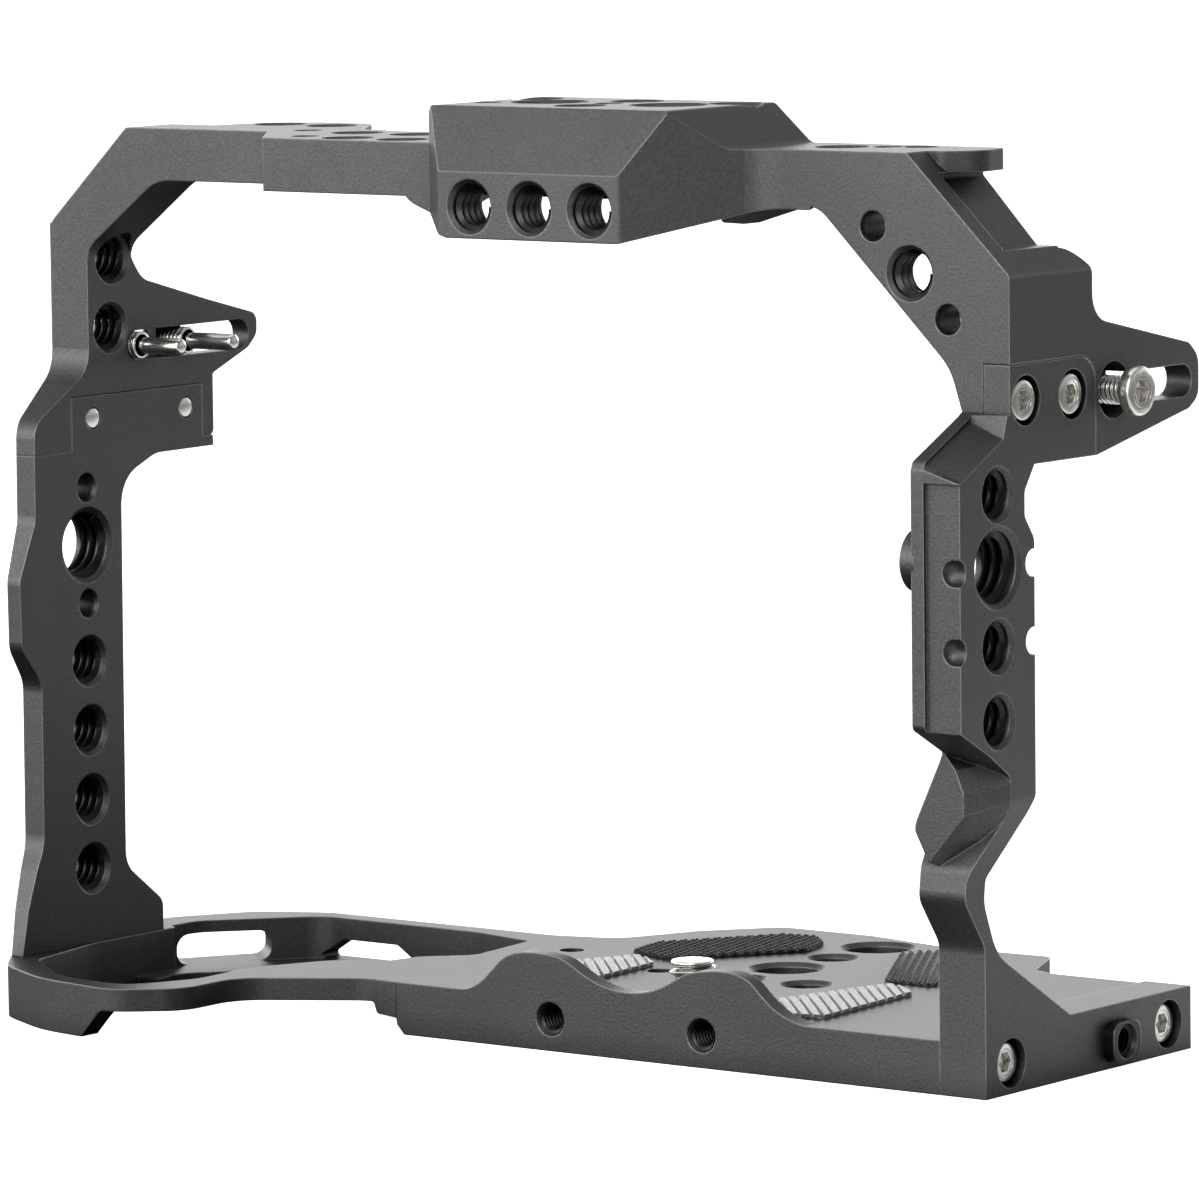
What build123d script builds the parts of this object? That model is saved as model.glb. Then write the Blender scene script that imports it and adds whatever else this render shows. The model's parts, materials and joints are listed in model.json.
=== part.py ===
from build123d import *
import math
import os

# Camera cage: four machined aluminium pieces bolted into a frame, with rubber pads,
# a captive camera screw and three lug screws that slide in the ear slots.
# X runs from the grip side to the port side, 0 at the outer face of the port-side foot.
# Y runs from the lens side to the back, 0 at the front wall. Z is up from the underside.
# At the end everything is moved so that the origin is at the middle of the underside.

# ---------- Driving dimensions, millimetres ----------
base_thick = 7.25
top_height = 123.5
bar_deep = 7.3               # height of the upper frame's bars
bar_under = top_height - bar_deep
seam_gap = 0.12              # visible line between bolted pieces

# Grip side (left) plate and arm
left_in = -156.6
left_thick = 6.8
left_out = left_in - left_thick
left_drop = 45.8             # from the bars' top down to the seam between arm and plate
left_seam = top_height - left_drop
left_tab_high = 7.6
left_tab_top = left_seam + left_tab_high
left_tab_thick = 3.4
left_ear_thick = 3.0
arm_front = 5.8
arm_back = 15.4

# Port side (right) plate and leg
foot_out = 0.0
foot_thick = 7.3
column_out = 4.4
column_in = -2.9
column_front = -12.1
column_back = 5.5
right_drop = 40.3            # from the bars' top down to the seam between leg and plate
right_seam = top_height - right_drop
right_tab_high = 13.2
right_tab_top = right_seam + right_tab_high
right_tab_thick = 4.0
right_ear_thick = 4.0
bar_back = 15.6

# Base plate and battery ring
wall_thick = 2.5             # raised wave wall along the front
rail_under = 4.1             # underside of the ring's front rail
window_floor = 1.1
window_ceiling = 5.5

# Centre block
block_front = -14.0
block_left = -77.9
block_right = -48.1
block_nose = bar_under - 4.9  # underside at the front
block_rise = 5.2             # the block stands this far above the bars
block_top = top_height + block_rise
block_slope = 8.5            # height of the sloped face above the front band
block_band = block_top - block_slope
block_back = bar_back
block_wall = 7.0
hump_roof = 7.1              # metal above the hollow for the camera's viewfinder hump
hump_ceiling = block_top - hump_roof

# Threads: major diameters and countersink mouths
quarter_d = 6.35
quarter_mouth = 7.5
three_eighths_d = 9.525
three_eighths_mouth = 11.0
pin_d = 3.65                 # locating pin holes
m4_d = 4.0
m4_mouth = 4.8
mouth_angle_depth = 0.6      # depth of a countersink

# Fasteners
m3_d = 3.0
m3_head_d = 5.5
m3_head_h = 2.0
m3_pocket_d = 6.6
m3_pocket_depth = 2.3
m3_hex = 2.5
thread_fit = 0.05            # radial gap round a fixed thread

# Lug screws: cap head, M4 thread and a slim pin for the camera's strap lug
lug_head_d = 6.6
lug_head_h = 4.0
port_head_h = 1.9            # the port-side screw's head is shorter and stands off the ear
port_standoff = 2.6
lug_thread_d = 3.9
lug_pin_d = 2.4
lug_hex = 3.0
slot_high = 4.3
nut_thick = 1.5
nut_long = 5.6
port_nut_long = 8.4          # longer, since it lies over the round entry of its slot
nut_high = 6.2
turn_fit = 0.05              # radial running gap
slide_gap = 0.3              # gap between sliding pieces
left_slot_y = (14.4, 41.4)
left_slot_z = left_seam + 14.1
left_lug_a_y = 16.6
left_lug_b_y = 26.9
left_pin_a = 7.5
left_pin_b = 8.7
right_pin = 5.5
right_slot_end = 43.2
right_slot_z = right_seam + 8.3
right_lug_y = 24.4
entry_d = 7.6

# Camera screw: coin-slot head under the base, thread standing above it
screw_x, screw_y = -60.0, 17.1
screw_head_d = 12.0
screw_head_h = 2.4
screw_pocket_d = 13.4
screw_pocket_depth = 3.6
screw_neck_d = 4.8
screw_top = 11.3
screw_thread_long = 3.1
screw_lift = 0.1             # head above the surface that the cage stands on
washer_d = 10.0
washer_thick = 0.6
coin_slot = 1.8

# Rubber pads
pad_seat = 0.4
pad_proud = 0.6
pad_round = 1.2

# Cable clamp insert on the port-side foot
insert_y, insert_z = 31.2, 3.65
insert_long, insert_high = 6.6, 5.4
insert_proud = 1.6
insert_sunk = 3.2


# ---------- Helpers ----------
def outline(corners):
    """Closed face through corners given as (u, v) or (u, v, fillet radius).
    A radius is limited so that its arc leaves a straight stretch on both sides."""
    face = make_face(Polyline(*[(c[0], c[1]) for c in corners], close=True)).face()
    spots = [Vector(c[0], c[1], 0) for c in corners]
    for index, corner in enumerate(corners):
        if len(corner) == 3:
            here = spots[index]
            before = spots[index - 1] - here
            after = spots[(index + 1) % len(spots)] - here
            half_angle = math.radians(before.get_angle(after)) / 2
            room = 0.45 * min(before.length, after.length)
            radius = min(corner[2], room * math.tan(half_angle))
            nearest = min(face.vertices(), key=lambda v: (Vector(v.X, v.Y, v.Z) - here).length)
            face = face.fillet_2d(radius, [nearest])
    return face


def along_x(corners, x_from, x_to):
    """Solid from an outline in (y, z), between two x values."""
    return extrude(Plane.YZ.offset(x_from) * outline(corners), amount=x_to - x_from, dir=(1, 0, 0))


def along_y(corners, y_from, y_to):
    """Solid from an outline in (x, z), between two y values."""
    return extrude(Plane.XZ.offset(-y_to) * outline(corners), amount=y_to - y_from, dir=(0, -1, 0))


def along_z(corners, z_from, z_to):
    """Solid from an outline in (x, y), between two z values."""
    return extrude(Plane.XY.offset(z_from) * outline(corners), amount=z_to - z_from, dir=(0, 0, 1))


def block(x_span, y_span, z_span):
    """Plain box between two corners."""
    box = Box(x_span[1] - x_span[0], y_span[1] - y_span[0], z_span[1] - z_span[0],
              align=(Align.MIN, Align.MIN, Align.MIN))
    return Pos(x_span[0], y_span[0], z_span[0]) * box


def rod(start, direction, diameter, length):
    """Cylinder that starts at a point and runs along a direction."""
    frame = Plane(origin=start, z_dir=direction)
    return frame * Cylinder(diameter / 2, length, align=(Align.CENTER, Align.CENTER, Align.MIN))


def cone(start, direction, wide, narrow, length):
    frame = Plane(origin=start, z_dir=direction)
    return frame * Cone(wide / 2, narrow / 2, length, align=(Align.CENTER, Align.CENTER, Align.MIN))


def moved(point, direction, distance):
    return tuple(point[i] + direction[i] * distance for i in range(3))


def tapped(mouth, direction, diameter, mouth_d, length, through=True):
    """Cutter for a threaded hole with a countersunk mouth at one end or at both."""
    cutter = rod(mouth, direction, diameter, length)
    cutter += cone(mouth, direction, mouth_d, diameter, mouth_angle_depth)
    if through:
        back = tuple(-value for value in direction)
        cutter += cone(moved(mouth, direction, length), back, mouth_d, diameter, mouth_angle_depth)
    return cutter


def hexagon(start, direction, across, depth):
    frame = Plane(origin=start, z_dir=direction)
    return extrude(frame * RegularPolygon(across / 2, 6, major_radius=False), amount=depth)


def slot_x(y_from, y_to, z_mid, height, x_from, x_to):
    """Round-ended slot cut along X, its length along Y."""
    length = y_to - y_from
    face = Plane.YZ.offset(x_from) * Pos((y_from + y_to) / 2, z_mid) * SlotOverall(length, height)
    return extrude(face, amount=x_to - x_from)


def joint_screw(top, direction, length):
    """M3 cap screw; top is the centre of the head's outer face."""
    screw = rod(top, direction, m3_head_d, m3_head_h)
    screw += rod(moved(top, direction, m3_head_h), direction, m3_d, length)
    screw -= hexagon(top, direction, m3_hex, m3_head_h * 0.7)
    return screw


def joint_screw_hole(face_point, direction, length):
    """Counterbore and thread for an M3 cap screw let into a face."""
    hole = rod(face_point, direction, m3_pocket_d, m3_pocket_depth)
    hole += rod(face_point, direction, m3_d + 2 * thread_fit, length)
    return hole


# ---------- Base plate with battery ring ----------
front_to_back = (0, 1, 0)
inward_left = (-1, 0, 0)
inward_right = (1, 0, 0)
upward = (0, 0, 1)
downward = (0, 0, -1)

slab_corners = [
    (-98.0, 0, 1.5), (-foot_thick, 0), (-foot_thick, 54.7), (-26.0, 54.7, 3), (-30.2, 56.5, 2),
    (-34.7, 67.3, 2), (-43, 66.8, 8), (-54, 67.0, 8), (-67, 69.6, 6), (-82.5, 69.6, 5),
    (-90.5, 60.3, 4), (-95.9, 48.4, 6), (-105.5, 45.7, 5), (-112, 45.7), (-112, 14), (-106, 2),
]
ring_outer = [
    (left_out, arm_front), (-158.6, -11.2, 4), (-153.6, -17.8, 12), (-142.0, -24.1, 25),
    (-127.3, -26.6, 6), (-119.2, -20.2, 6), (-119.2, -9.0, 7), (-103.8, 0.4, 5), (-96, 0),
    (-96, 45.7), (-146.5, 45.7, 7), (-156.5, 40.6, 8), (left_out, 29.5, 6),
]
ring_inner = [
    (-153.2, -11.8, 6), (-141.0, -21.2, 14), (-128.0, -22.6, 5), (-123.0, -12.6, 8), (-123.4, -1.0, 10),
    (-117.7, 10.8, 6), (-111.2, 13.2, 3), (-109.6, 19.6, 3), (-103.7, 25.2, 3), (-105.3, 39.6, 1),
    (-116, 42.2, 8), (-145, 42.6, 6), (-157.7, 29.0, 5), (-158.0, 23.2, 0.5), (-156.5, 22.4, 0.5),
    (-156.5, 4.0, 14),
]
lip_inner = [
    (-147.0, -12.0, 3), (-124.6, -14.5, 3), (-121.0, 11.5, 4), (-112.0, 14.0, 3), (-105.5, 27.0, 3),
    (-107.0, 38.6, 2), (-126, 36.0, 6), (-144, 30.0, 8), (-153.6, 20, 6), (-152, 6, 4),
]
battery_opening = along_z(ring_inner, -1, base_thick + 1)

base_plate = along_z(slab_corners, 0, base_thick)
base_plate += along_z(ring_outer, 0, base_thick)
base_plate -= battery_opening
bottom_lip = along_z(ring_outer, 0, window_floor) - along_z(lip_inner, -1, base_thick)
base_plate += bottom_lip & block((-170, -100), (14, 60), (0, window_floor))
# Round-ended window square to the ring's curved rear wall
window_mid = Vector(-155.16, 31.58, (window_floor + window_ceiling) / 2)
window_long = 14.2
window_plane = Plane(origin=window_mid, x_dir=(12.5, 13.6, 0), z_dir=(-13.6, 12.5, 0))
window_face = window_plane * RectangleRounded(window_long, window_ceiling - window_floor, 1.9)
base_plate -= extrude(window_face, amount=12, both=True)
# Slanted window under the rear rail
base_plate -= along_y([(-146.3, window_floor, 0.5), (-141.6, rail_under, 0.8), (-131.5, rail_under, 1.2),
                       (-126.8, window_floor, 0.5)], 34, 60)
# Clearance under the front rail for the battery door
base_plate -= along_y([(-134.4, -1), (-129.4, rail_under, 1.5), (-102.4, rail_under, 0.6), (-101.8, 2.5, 0.6),
                       (-98.1, 2.2, 0.5), (-98.1, 1.4, 0.6), (-96.8, 0), (-96.8, -1)], -30, 22)
# Raised wave wall along the front
wave_ends = (-87.0, -29.0)
wave_root = base_thick - 2
wave_top = Spline((wave_ends[0], base_thick), (-84.3, 8.0), (-82.2, 9.6), (-79.2, 12.3), (-76.8, 13.1),
                  (-72.0, 13.25), (-69.4, 12.8), (-66.2, 11.2), (-62.2, 9.6), (-57.6, 9.2), (-53.9, 9.9),
                  (-51.4, 11.0), (-48.6, 12.5), (-46.0, 13.1), (-40.4, 13.2), (-38.0, 12.3), (-36.3, 10.8),
                  (-34.2, 9.1), (-32.0, 8.0), (wave_ends[1], base_thick))
wave_face = make_face([wave_top, Polyline((wave_ends[1], base_thick), (wave_ends[1], wave_root),
                                          (wave_ends[0], wave_root), (wave_ends[0], base_thick))])
base_plate += extrude(Plane.XZ.offset(-wall_thick) * wave_face, amount=wall_thick)

# Holes in the base: name, x, y, thread
base_holes = [
    (-60.0, 61.2, three_eighths_d, three_eighths_mouth),
    (-60.0, 50.2, quarter_d, quarter_mouth),
    (-60.0, 39.1, three_eighths_d, three_eighths_mouth),
    (-60.0, 28.1, quarter_d, quarter_mouth),
    (-49.4, 28.9, quarter_d, quarter_mouth),
]
for hole_x, hole_y, size, mouth in base_holes:
    base_plate -= tapped((hole_x, hole_y, base_thick), downward, size, mouth, base_thick)
base_pin_holes = [(-73.4, 27.6), (-95.0, 36.0)]
for hole_x, hole_y in base_pin_holes:
    base_plate -= rod((hole_x, hole_y, base_thick), downward, pin_d, base_thick)
front_wall_holes = [(-71.5, 4.4), (-46.1, 4.4)]
front_hole_depth = 9.0
for hole_x, hole_z in front_wall_holes:
    base_plate -= tapped((hole_x, 0, hole_z), front_to_back, m4_d, m4_mouth, front_hole_depth, False)

# Captive camera screw: pocket below and a narrow hole above
neck_hole_d = 5.4
base_plate -= rod((screw_x, screw_y, 0), upward, screw_pocket_d, screw_pocket_depth)
base_plate -= rod((screw_x, screw_y, 0), upward, neck_hole_d, base_thick)

# Pads sit in shallow seats
pad_shapes = {
    "pad_front_left": [(-88.0, 24.8), (-82.4, 35.6), (-76.6, 30.6), (-75.4, 13.6)],
    "pad_rear_left": [(-86.4, 38.2, 3), (-88.0, 46.0, 3), (-77.2, 62.0, 3), (-72.6, 63.6, 3),
                      (-67.8, 59.0, 2), (-65.6, 52.6, 2), (-77.4, 35.4, 2)],
    "pad_rear_right": [(-53.2, 57.2), (-49.8, 61.6), (-32.2, 35.8), (-41.4, 36.2)],
    "pad_front_right": [(-44.0, 12.0), (-38.2, 33.6), (-31.6, 28.8), (-30.0, 6.0), (-36.2, 4.2)],
}


def pad_outline(corners):
    return [corner if len(corner) == 3 else (corner[0], corner[1], pad_round) for corner in corners]


pads = {}
for pad_name, corners in pad_shapes.items():
    seat_level = base_thick - pad_seat
    base_plate -= along_z(pad_outline(corners), seat_level, base_thick + 1)
    pads[pad_name] = along_z(pad_outline(corners), seat_level, base_thick + pad_proud)

# ---------- Grip-side plate ----------
left_plan = [
    (left_out, arm_front), (left_out, 60), (left_in, 60), (left_in, -11.2), (-158.6, -11.2),
]
left_slice = along_z(left_plan, 0, 140)
left_side = [
    (-10.85, base_thick), (-9.45, 13.7, 4), (-7.4, 19.2, 5), (-5.8, 22.5, 6), (-5.6, left_seam - 32.1, 4),
    (-9.75, left_seam - 27.1, 3), (-9.95, left_seam - 17.3, 3), (-6.4, left_seam - 9.3, 4), (-6.3, left_seam),
    (33.0, left_seam), (33.0, left_seam - 1.5), (20.1, left_seam - 1.6, 6), (12.4, left_seam - 4.7, 6),
    (11.95, 17.6, 4), (20.0, 11.6, 2), (20.0, base_thick),
]
left_side_plate = along_x(left_side, left_out, left_in) & left_slice
left_tab_y = (1.9, 30.6)
left_side_plate += block((left_in - left_tab_thick, left_in), left_tab_y, (left_seam - 1, left_tab_top))

plate_hole_y = 4.8
left_plate_holes = [  # depth below the seam, thread, mouth
    (5.3, pin_d, pin_d + 0.6), (13.5, three_eighths_d, three_eighths_mouth), (21.8, pin_d, pin_d + 0.6),
    (30.0, quarter_d, quarter_mouth), (39.9, quarter_d, quarter_mouth),
    (49.8, quarter_d, quarter_mouth), (59.7, quarter_d, quarter_mouth),
]
for below, size, mouth in left_plate_holes:
    hole_z = left_seam - below
    left_side_plate -= tapped((left_in, plate_hole_y, hole_z), inward_left, size, mouth, left_thick)

# ---------- Upper frame ----------
left_front_view = [
    (left_out, left_seam), (left_out, top_height - 13.9, 3), (-149.0, top_height, 0.8), (-110.0, top_height),
    (-110.0, bar_under), (-143.6, bar_under, 7), (left_in, bar_under - 10.1, 4), (left_in, left_seam),
]
arm = along_y(left_front_view, arm_front, arm_back)
arm_side = [
    (arm_front, left_seam + 32), (arm_front, left_seam + 11.4, 5), (-6.2, left_seam + 4.3, 4),
    (-6.3, left_seam), (33.15, left_seam, 1), (33.15, left_seam + 8.9, 0.5), (41.3, left_seam + 12.1, 2),
    (43.3, left_seam + 13.9, 2),
    (43.3, left_seam + 16.9, 1.6), (32.0, left_seam + 19.7, 2), (17.8, left_seam + 23.5, 4),
    (arm_back, left_seam + 26.7, 3), (arm_back, left_seam + 32),
]
arm += along_x(arm_side, left_out, left_in) & left_slice
ear_face = left_in - left_ear_thick
head_room_y = left_lug_a_y - lug_head_d / 2 - slide_gap
arm -= block((left_out - 1, ear_face), (head_room_y, 60), (left_tab_top + 2.2, left_slot_z + lug_head_d))
arm -= block((left_in - left_tab_thick - seam_gap, left_in + 1),
             (left_tab_y[0] - seam_gap, left_tab_y[1] + seam_gap), (left_seam - 1, left_tab_top + seam_gap))
arm_holes = [(11.3, left_seam + 26.8), (10.7, left_seam + 17.0)]
for hole_y, hole_z in arm_holes:
    arm -= tapped((left_in, hole_y, hole_z), inward_left, quarter_d, quarter_mouth, left_thick)
    arm -= rod((left_in, hole_y, hole_z), inward_right, quarter_mouth, left_thick)
arm -= slot_x(left_slot_y[0], left_slot_y[1], left_slot_z, slot_high, left_out - 1, left_in + 1)

# Wider plate behind the grip-side bar, and the bar beside the block
wing_thick = 4.0
wing = along_z([(-142, 12), (-138.5, 24.5, 3), (-131.5, 28.2, 3), (-122.5, 28.2, 3), (-114.0, 15.0, 2),
                (-110, 12)], top_height - wing_thick, top_height)
left_bar = along_z([(-113.4, -7.4), (-82.0, -7.4), (-82.0, 14.2), (-113, 14.2), (-121.0, 11.0),
                    (-123.3, arm_front)], bar_under, top_height)

block_plan = [
    (block_left, block_front, 0.8), (block_right, block_front, 1.2), (-34.1, 0, 7), (-27, 0),
    (-27, block_back),
    (-84.5, block_back), (-84.5, -7.4),
]
block_front_view = [
    (-90, bar_under, 6), (-79.2, block_nose + 0.8, 2), (-76.6, block_nose), (-48.1, block_nose),
    (-27, block_nose), (-27, top_height - 0.02), (-37.7, top_height - 0.02, 2), (-43.7, block_top, 1.2),
    (-84.5, block_top, 2.5), (-84.5, top_height), (-90, top_height),
]
block_side = [
    (block_front, block_nose), (block_front, block_band), (block_front + 5.0, block_top),
    (block_back, block_top), (block_back, bar_under), (2.0, bar_under),
]
centre = along_x(block_side, -90, -27) & along_y(block_front_view, block_front - 1, block_back + 1)
under_block = block_nose - 10
centre_plan = along_z(block_plan, under_block, block_top + 1)
centre_plan += block((-92, -82), (-7.4, 14.2), (under_block, top_height))
centre &= centre_plan
# Hollow for the viewfinder hump, open below and behind
hump_front = block_front + block_wall
hump = along_x([(hump_front, under_block), (hump_front, hump_ceiling - 4.0, 2), (-2.5, hump_ceiling, 3),
                (block_back + 1, hump_ceiling), (block_back + 1, under_block)], -80.5, -46.5)
rear_lip = along_y([(-50.3, bar_under + 1), (-50.3, bar_under - 3.6, 0.5), (-46.5, bar_under - 3.7, 1),
                    (-34.0, bar_under), (-34.0, bar_under + 1)], block_back - 3.4, block_back)

# Port-side bar, shoulder and leg
right_view = [
    (-36, bar_under), (-25.8, bar_under, 5), (-4.9, right_seam + 12.5, 8), (column_in, right_seam + 6.3, 4),
    (column_in, right_seam), (column_out, right_seam), (column_out, top_height - 15.5, 1.2),
    (-11.6, top_height, 0.8), (-36, top_height),
]
web_depth = 6.0
flange = 3.6
shoulder = along_y(right_view, 0, bar_back)
below_seam = right_seam - 5
web_hollow = along_y([(-12.0, bar_under + 1, 2), (-40.0, bar_under + 1), (-40, below_seam),
                      (column_out - flange, below_seam), (column_out - flange, top_height - 19.9, 4)],
                     web_depth, bar_back + 5)
web_hollow &= along_y([(-30.5, bar_under + 0.01), (-12, bar_under + 3), (0.8, bar_under - 10.2),
                       (0.8, below_seam), (-30.5, below_seam)], 0, bar_back + 20)
shoulder -= web_hollow
leg_side = [
    (0, right_seam), (0, right_seam + 28), (19.4, right_seam + 27.3, 4), (19.4, right_seam + 18.1, 4),
    (42.6, right_seam + 13.3, 2), (44.9, right_seam + 11.4, 3), (44.9, right_seam + 6.0, 3),
    (42.6, right_seam + 4.5, 2), (20.3, right_seam),
]
leg_face = column_out - right_ear_thick
shoulder += along_x(leg_side, leg_face, column_out) & along_y(right_view, 0, 60)
# Recess in the outer slope, open to the back
recess_low = top_height - 12.6
recess_high = top_height - 2.8
shoulder -= along_y([(-10.9, recess_high, 0.6), (-1.7, recess_low, 0.6), (6, recess_low), (9, recess_high)],
                    3.3, 40)
shoulder += along_z([(-14, 4.8), (-9.5, 4.8, 2), (-5.4, 8.6, 4), (-6.2, bar_back, 2), (-14, bar_back)],
                    recess_high, top_height)
# Lap joint: the plate's tab covers the outer half
tab_back = 20.0
tab_round = 3.5
tab_seat_back = tab_back + seam_gap
tab_seat_face = column_out - right_tab_thick - seam_gap
shoulder -= along_x([(-1, right_seam - 1), (-1, right_tab_top + seam_gap),
                     (tab_seat_back, right_tab_top + seam_gap, tab_round + seam_gap),
                     (tab_seat_back, right_seam - 1)], tab_seat_face, column_out + 1)
shoulder -= slot_x(right_lug_y - 2, right_slot_end, right_slot_z, slot_high, leg_face - 1, column_out + 1)
shoulder -= rod((leg_face - 1, right_lug_y, right_slot_z), inward_right, entry_d, right_ear_thick + 2)
shoulder_pins = [(-17.0, bar_under - 2.4), (-5.2, bar_under - 14.2)]
for hole_x, hole_z in shoulder_pins:
    shoulder -= tapped((hole_x, 0, hole_z), front_to_back, pin_d, pin_d + 0.5, web_depth)
shoulder_hole = (-11.2, bar_under - 8.4)
shoulder_mouth = (shoulder_hole[0], 0, shoulder_hole[1])
shoulder -= tapped(shoulder_mouth, front_to_back, quarter_d, quarter_mouth, web_depth)

top_frame = arm + wing + left_bar + centre + shoulder
top_frame -= hump
top_frame += rear_lip

# Threaded holes through the block's front wall and down through the top plates
thread_pitch_grid = 10.0
block_mid = (block_left + block_right) / 2 + 0.3
block_hole_z = block_nose + 4.25
for step in (-1, 0, 1):
    mouth = (block_mid + step * thread_pitch_grid, block_front, block_hole_z)
    top_frame -= tapped(mouth, front_to_back, quarter_d, quarter_mouth, block_wall, False)
block_top_holes = [
    (-72.7, 4.0, three_eighths_d, three_eighths_mouth), (-52.7, 4.0, three_eighths_d, three_eighths_mouth),
    (-62.7, -2.4, quarter_d, quarter_mouth), (-62.7, 10.4, quarter_d, quarter_mouth),
    (-79.6, 10.4, quarter_d, quarter_mouth), (-79.6, -0.5, pin_d, pin_d + 0.5),
    (-46.5, 10.6, quarter_d, quarter_mouth), (-62.7, 4.0, pin_d, pin_d + 0.5),
]
for hole_x, hole_y, size, mouth in block_top_holes:
    top_frame -= tapped((hole_x, hole_y, block_top), downward, size, mouth, block_top - hump_ceiling, False)
bar_top_holes = [
    (-124.8, 21.8, quarter_d, quarter_mouth), (-119.8, 10.4, pin_d, pin_d + 0.5),
    (-134.0, 21.8, quarter_d, quarter_mouth), (-109.6, 8.6, quarter_d, quarter_mouth),
    (-102.5, -2.4, quarter_d, quarter_mouth), (-110.6, -1.6, pin_d, pin_d + 0.5),
    (-99.4, 8.6, quarter_d, quarter_mouth), (-93.0, -2.4, quarter_d, quarter_mouth),
    (-92.0, 8.6, pin_d, pin_d + 0.5), (-27.6, 8.2, quarter_d, quarter_mouth),
    (-21.9, 10.7, pin_d, pin_d + 0.5), (-17.8, 12.4, m4_d, m4_mouth),
]
bar_hole_depth = bar_deep + 1
for hole_x, hole_y, size, mouth in bar_top_holes:
    top_frame -= tapped((hole_x, hole_y, top_height), downward, size, mouth, bar_hole_depth, False)

# ---------- Port-side plate ----------
column_low = right_seam - 33.3
knee = column_low - 49.9     # how far the bent leg sits above its usual place
right_side = [
    (0, right_seam + 7.2, 1), (-1.2, right_seam + 6.4, 2), (-11.6, right_seam + 1.4, 1),
    (column_front, right_seam + 0.4, 1), (column_front, column_low, 1), (-5.4, knee + 46.3, 1.5),
    (-0.4, knee + 43.0, 1.5), (-0.1, knee + 37.6, 3), (-4.1, knee + 30.8, 3), (-4.6, knee + 26.6, 3),
    (0, knee + 20.2, 3), (0, 0), (49.2, 0), (49.2, 8.6), (20.0, 8.6, 1), (2.65, knee + 18.9, 8),
    (-0.2, knee + 26.0, 5), (0.2, knee + 29.2, 3), (4.7, knee + 37.6, 3), (column_back, knee + 40.0, 2),
    (column_back, right_seam - 9.6, 2), (3.3, right_seam - 6.6, 1.5), (3.3, right_seam - 3.3, 1.5),
    (5.6, right_seam - 0.05), (5.6, right_seam), (0, right_seam),
]
right_front_view = [
    (-foot_thick, 0), (foot_out, 0), (foot_out, knee + 29.2, 3), (column_out, knee + 39.6, 3),
    (column_out, right_tab_top), (column_in, right_tab_top), (column_in, knee + 46.0, 3),
    (-foot_thick, knee + 36.6, 3),
]
right_side_plate = along_x(right_side, -foot_thick, column_out) & along_y(right_front_view, -20, 60)
right_side_plate += along_x([(0, right_seam - 1), (0, right_tab_top), (tab_back, right_tab_top, tab_round),
                             (tab_back, right_seam), (5.6, right_seam), (4.8, right_seam - 1)],
                            column_out - right_tab_thick, column_out)
# Front of the column lies behind a raised rim along its inner edge, and rolls back above it to the tab
rim = 2.0
rim_high = 0.5
roll_low = right_seam - 1.4
roll_by_rim = [(column_front - 1, right_tab_top), (column_front - 1, right_seam - 0.3),
               (-11.4, right_seam + 0.9), (-1.2, right_seam + 5.8), (0, right_seam + 9.0), (0, right_tab_top)]
roll_outside = [(column_front - 1, right_tab_top), (column_front - 1, roll_low), (-11.0, roll_low),
                (-1.6, right_seam + 3.4), (0, right_seam + 9.0), (0, right_tab_top)]
right_side_plate -= loft([Plane.YZ.offset(column_in + rim) * outline(roll_by_rim),
                          Plane.YZ.offset(column_out + 1) * outline(roll_outside)], ruled=True)
right_side_plate -= block((column_in + rim, column_out + 1), (column_front - 1, column_front + rim_high),
                          (column_low - 1.0, roll_low + 0.1))
# Forward flange at the knee, and a round boss on the column's inner face
flange_front = -5.3
flange_root = -0.4
lobe = [(column_in, knee + 46.5), (-0.9, knee + 44.0), (0.3, knee + 41.0), (0.3, knee + 38.0),
        (-2.7, knee + 34.6), (-5.2, knee + 31.6), (-foot_thick, knee + 35.6), (-foot_thick, knee + 36.6)]
lobe_root = [(column_in, knee + 46.5), (3.0, knee + 45.0), (column_out, knee + 42.0),
             (column_out, knee + 39.8), (2.3, knee + 34.6), (-2.0, knee + 29.4),
             (-foot_thick, knee + 35.6), (-foot_thick, knee + 36.6)]
knee_flange = loft([Plane.XZ.offset(-flange_front) * outline(lobe),
                    Plane.XZ.offset(-flange_root) * outline(lobe_root)], ruled=True)
knee_flange += along_y(lobe_root, flange_root, 2.0)
right_side_plate += knee_flange & along_y(right_front_view, flange_front, 60)
boss_proud = 1.8
boss_face = (column_in - boss_proud, -8.0, right_seam - 11.7)
right_side_plate += rod(boss_face, inward_right, 8.4, boss_proud + 0.5)
column_mid_y = -2.85
right_plate_holes = [  # depth below the seam, thread, mouth
    (3.3, quarter_d, quarter_mouth), (12.8, three_eighths_d, three_eighths_mouth),
    (23.0, quarter_d, quarter_mouth), (32.8, quarter_d, quarter_mouth),
]
column_thick = column_out - column_in
for below, size, mouth in right_plate_holes:
    hole_z = right_seam - below
    right_side_plate -= tapped((column_out, column_mid_y, hole_z), inward_left, size, mouth, column_thick)
edge_pin_straight = 1.0       # locating dents half over each edge, with round ends
for below in (12.8, 23.0):
    for spot_y in (column_front, column_back - 0.25):
        spot_z = right_seam - below
        right_side_plate -= rod((column_out, spot_y, spot_z), inward_left, pin_d, edge_pin_straight)
        right_side_plate -= Pos(column_out - edge_pin_straight, spot_y, spot_z) * Sphere(pin_d / 2)

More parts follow.
